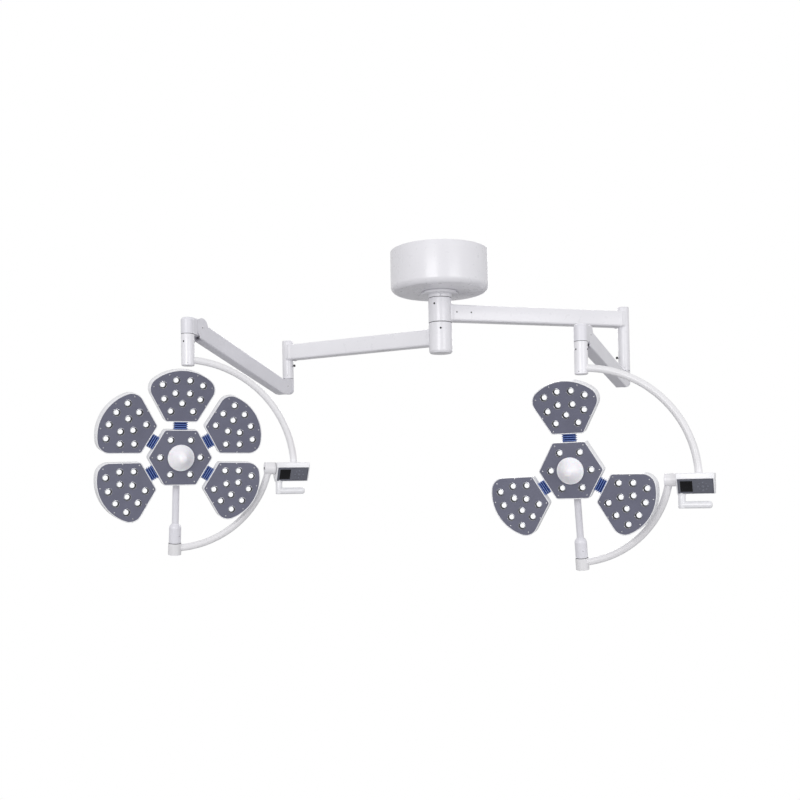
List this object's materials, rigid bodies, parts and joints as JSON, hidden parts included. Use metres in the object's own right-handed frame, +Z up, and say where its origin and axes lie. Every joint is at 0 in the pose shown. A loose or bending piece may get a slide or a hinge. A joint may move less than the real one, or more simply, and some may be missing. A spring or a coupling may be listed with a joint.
{
  "type": "surgical light",
  "caption": "Ceiling-mounted surgical light: two petal-shaped lamp heads in swivelling arc yokes on extension and spring arms from one round canopy.",
  "frame": {"origin": "centre of the ceiling plate's top face, where it meets the ceiling", "axes": "+Z up; the faces of both lamp heads look towards -Y; the longer extension arm is on the +X side"},
  "size_m": [2.1576, 0.9958, 1.2763],
  "materials": {
    "white_paint": "satin powder coat",
    "white_plastic": "smooth semi-gloss",
    "face_grey": "fine texture",
    "panel_dark": "membrane film",
    "blue_rubber": "matt",
    "bright_steel": "turned",
    "mounting_steel": "grey primer",
    "dark_plastic": "moulded"
  },
  "bodies": {
    "base": {"ceiling_plate": "mounting_steel", "ceiling_canopy": "white_paint", "canopy_collar": "white_paint", "power_units": "mounting_steel", "ceiling_spindle": "bright_steel", "spindle_bushes": "dark_plastic"},
    "left_arm": {"left_arm_hub": "white_paint", "left_extension_arm": "white_paint"},
    "left_knuckle": {"left_root_knuckle": "white_paint"},
    "left_lift_arm": {"left_spring_arm": "white_paint", "left_counter_spring": "bright_steel", "left_arm_pins": "bright_steel"},
    "left_link": {"left_link_rod": "bright_steel"},
    "left_nose_block": {"left_nose": "white_paint"},
    "left_yoke": {"left_swivel_tube": "white_paint", "left_upper_arc": "white_paint", "left_control_box": "white_plastic", "left_control_panel": "panel_dark", "left_grip_handle": "white_plastic"},
    "left_tilt_arc": {"left_lower_arc": "white_paint"},
    "left_head": {"left_post": "white_paint", "left_hub_housing": "white_plastic", "left_hub_lamp": "face_grey", "left_bellows": "blue_rubber"},
    "left_handle": {"left_focus_handle": "white_plastic"},
    "left_petal_1": {"left_petal_1_housing": "white_plastic", "left_petal_1_lamp": "face_grey"},
    "left_petal_2": {"left_petal_2_housing": "white_plastic", "left_petal_2_lamp": "face_grey"},
    "left_petal_3": {"left_petal_3_housing": "white_plastic", "left_petal_3_lamp": "face_grey"},
    "left_petal_4": {"left_petal_4_housing": "white_plastic", "left_petal_4_lamp": "face_grey"},
    "left_petal_5": {"left_petal_5_housing": "white_plastic", "left_petal_5_lamp": "face_grey"},
    "right_arm": {"right_arm_hub": "white_paint", "right_extension_arm": "white_paint"},
    "right_knuckle": {"right_root_knuckle": "white_paint"},
    "right_lift_arm": {"right_spring_arm": "white_paint", "right_counter_spring": "bright_steel", "right_arm_pins": "bright_steel"},
    "right_link": {"right_link_rod": "bright_steel"},
    "right_nose_block": {"right_nose": "white_paint"},
    "right_yoke": {"right_swivel_tube": "white_paint", "right_upper_arc": "white_paint", "right_control_box": "white_plastic", "right_control_panel": "panel_dark", "right_grip_handle": "white_plastic"},
    "right_tilt_arc": {"right_lower_arc": "white_paint"},
    "right_head": {"right_post": "white_paint", "right_hub_housing": "white_plastic", "right_hub_lamp": "face_grey", "right_bellows": "blue_rubber"},
    "right_handle": {"right_focus_handle": "white_plastic"},
    "right_petal_1": {"right_petal_1_housing": "white_plastic", "right_petal_1_lamp": "face_grey"},
    "right_petal_2": {"right_petal_2_housing": "white_plastic", "right_petal_2_lamp": "face_grey"},
    "right_petal_3": {"right_petal_3_housing": "white_plastic", "right_petal_3_lamp": "face_grey"}
  },
  "joints": [
    {"name": "left_arm_swing", "type": "hinge", "parent": "base", "child": "left_arm", "pos_m": [0, 0, 0], "axis": [0, 0, 1], "range_deg": [-60, 45]},
    {"name": "left_base_swivel", "type": "hinge", "parent": "left_arm", "child": "left_knuckle", "pos_m": [-0.68658, 0.31884, -0.505], "axis": [0, 0, -1], "range_deg": [-50, 90]},
    {"name": "left_arm_lift", "type": "hinge", "parent": "left_knuckle", "child": "left_lift_arm", "pos_m": [-0.70097, 0.27727, -0.505], "axis": [-0.9449, 0.3272, 0], "range_deg": [-58, 11]},
    {"name": "left_link", "type": "hinge", "parent": "left_knuckle", "child": "left_link", "pos_m": [-0.70097, 0.27727, -0.529], "axis": [-0.9449, 0.3272, 0], "range_deg": [-58.5, 11.5]},
    {"name": "left_nose_level", "type": "hinge", "parent": "left_lift_arm", "child": "left_nose_block", "pos_m": [-0.91184, -0.33167, -0.3491], "axis": [-0.9449, 0.3272, 0], "range_deg": [-11.5, 58.5]},
    {"name": "left_yoke_swivel", "type": "hinge", "parent": "left_nose_block", "child": "left_yoke", "pos_m": [-0.93311, -0.39309, -0.3491], "axis": [0, 0, 1], "range_deg": [-165, 165]},
    {"name": "left_head_pitch", "type": "hinge", "parent": "left_yoke", "child": "left_tilt_arc", "pos_m": [-0.66174, -0.2774, -0.8811], "axis": [0.9199, 0.3922, 0], "range_deg": [-10, 80]},
    {"name": "left_head_yaw", "type": "hinge", "parent": "left_tilt_arc", "child": "left_head", "pos_m": [-0.97223, -0.4192, -0.83191], "axis": [0.0829, -0.1534, 0.9847], "range_deg": [-140, 2]},
    {"name": "left_focus", "type": "hinge", "parent": "left_head", "child": "left_handle", "pos_m": [-0.94152, -0.47196, -0.84271], "axis": [0.4953, -0.8511, -0.1743], "range_deg": [-90, 45]},
    {"name": "left_petal_1_tilt", "type": "hinge", "parent": "left_head", "child": "left_petal_1", "pos_m": [-0.94115, -0.47383, -0.72929], "axis": [0.8648, 0.5022, 0.0055], "range_deg": [-5.5, 2.8]},
    {"name": "left_petal_2_tilt", "type": "hinge", "parent": "left_head", "child": "left_petal_2", "pos_m": [-1.02967, -0.51394, -0.78496], "axis": [0.5041, 0.1182, 0.8555], "range_deg": [-5.5, 2.8]},
    {"name": "left_petal_3_tilt", "type": "hinge", "parent": "left_head", "child": "left_petal_3", "pos_m": [-1.03895, -0.49676, -0.89525], "axis": [-0.3606, -0.3839, 0.85], "range_deg": [-5.5, 2.8]},
    {"name": "left_petal_4_tilt", "type": "hinge", "parent": "left_head", "child": "left_petal_4", "pos_m": [-0.8712, -0.39935, -0.89419], "axis": [-0.5041, -0.1182, -0.8555], "range_deg": [-5.5, 2.8]},
    {"name": "left_petal_5_tilt", "type": "hinge", "parent": "left_head", "child": "left_petal_5", "pos_m": [-0.86192, -0.41653, -0.7839], "axis": [0.3606, 0.3839, -0.85], "range_deg": [-5.5, 2.8]},
    {"name": "right_arm_swing", "type": "hinge", "parent": "base", "child": "right_arm", "pos_m": [0, 0, 0], "axis": [0, 0, 1], "range_deg": [-45, 60]},
    {"name": "right_base_swivel", "type": "hinge", "parent": "right_arm", "child": "right_knuckle", "pos_m": [0.78793, 0.26089, -0.513], "axis": [0, 0, 1], "range_deg": [-15, 120]},
    {"name": "right_arm_lift", "type": "hinge", "parent": "right_knuckle", "child": "right_lift_arm", "pos_m": [0.77168, 0.22, -0.513], "axis": [-0.9293, 0.3693, 0], "range_deg": [-52, 17]},
    {"name": "right_link", "type": "hinge", "parent": "right_knuckle", "child": "right_link", "pos_m": [0.77168, 0.22, -0.537], "axis": [-0.9293, 0.3693, 0], "range_deg": [-52.5, 17.5]},
    {"name": "right_nose_level", "type": "hinge", "parent": "right_lift_arm", "child": "right_nose_block", "pos_m": [0.52913, -0.39044, -0.42302], "axis": [-0.9293, 0.3693, 0], "range_deg": [-17.5, 52.5]},
    {"name": "right_yoke_swivel", "type": "hinge", "parent": "right_nose_block", "child": "right_yoke", "pos_m": [0.50513, -0.45085, -0.42302], "axis": [0, 0, 1], "range_deg": [-165, 165]},
    {"name": "right_head_pitch", "type": "hinge", "parent": "right_yoke", "child": "right_tilt_arc", "pos_m": [0.78397, -0.54714, -0.95502], "axis": [0.9452, -0.3264, 0], "range_deg": [-10, 80]},
    {"name": "right_head_yaw", "type": "hinge", "parent": "right_tilt_arc", "child": "right_head", "pos_m": [0.47623, -0.45004, -0.90584], "axis": [-0.0742, -0.1581, 0.9846], "range_deg": [-140, 4]},
    {"name": "right_focus", "type": "hinge", "parent": "right_head", "child": "right_handle", "pos_m": [0.45276, -0.5064, -0.91666], "axis": [-0.3785, -0.909, -0.1744], "range_deg": [-90, 45]},
    {"name": "right_petal_1_tilt", "type": "hinge", "parent": "right_head", "child": "right_petal_1", "pos_m": [0.45127, -0.50775, -0.80324], "axis": [0.9226, -0.3856, 0.0076], "range_deg": [-5.5, 2.8]},
    {"name": "right_petal_2_tilt", "type": "hinge", "parent": "right_head", "child": "right_petal_2", "pos_m": [0.37424, -0.44379, -0.96939], "axis": [-0.5255, 0.0559, 0.8489], "range_deg": [-5.5, 2.8]},
    {"name": "right_petal_3_tilt", "type": "hinge", "parent": "right_head", "child": "right_petal_3", "pos_m": [0.55322, -0.51859, -0.96792], "axis": [-0.3971, 0.3297, -0.8565], "range_deg": [-5.5, 2.8]}
  ],
  "couplings": [
    {"joint": "left_link", "follows": "left_arm_lift", "ratio": 1},
    {"joint": "left_nose_level", "follows": "left_arm_lift", "ratio": -1},
    {"joint": "left_petal_1_tilt", "follows": "left_focus", "ratio": 0.06},
    {"joint": "left_petal_2_tilt", "follows": "left_focus", "ratio": 0.06},
    {"joint": "left_petal_3_tilt", "follows": "left_focus", "ratio": 0.06},
    {"joint": "left_petal_4_tilt", "follows": "left_focus", "ratio": 0.06},
    {"joint": "left_petal_5_tilt", "follows": "left_focus", "ratio": 0.06},
    {"joint": "right_link", "follows": "right_arm_lift", "ratio": 1},
    {"joint": "right_nose_level", "follows": "right_arm_lift", "ratio": -1},
    {"joint": "right_petal_1_tilt", "follows": "right_focus", "ratio": 0.06},
    {"joint": "right_petal_2_tilt", "follows": "right_focus", "ratio": 0.06},
    {"joint": "right_petal_3_tilt", "follows": "right_focus", "ratio": 0.06}
  ]
}
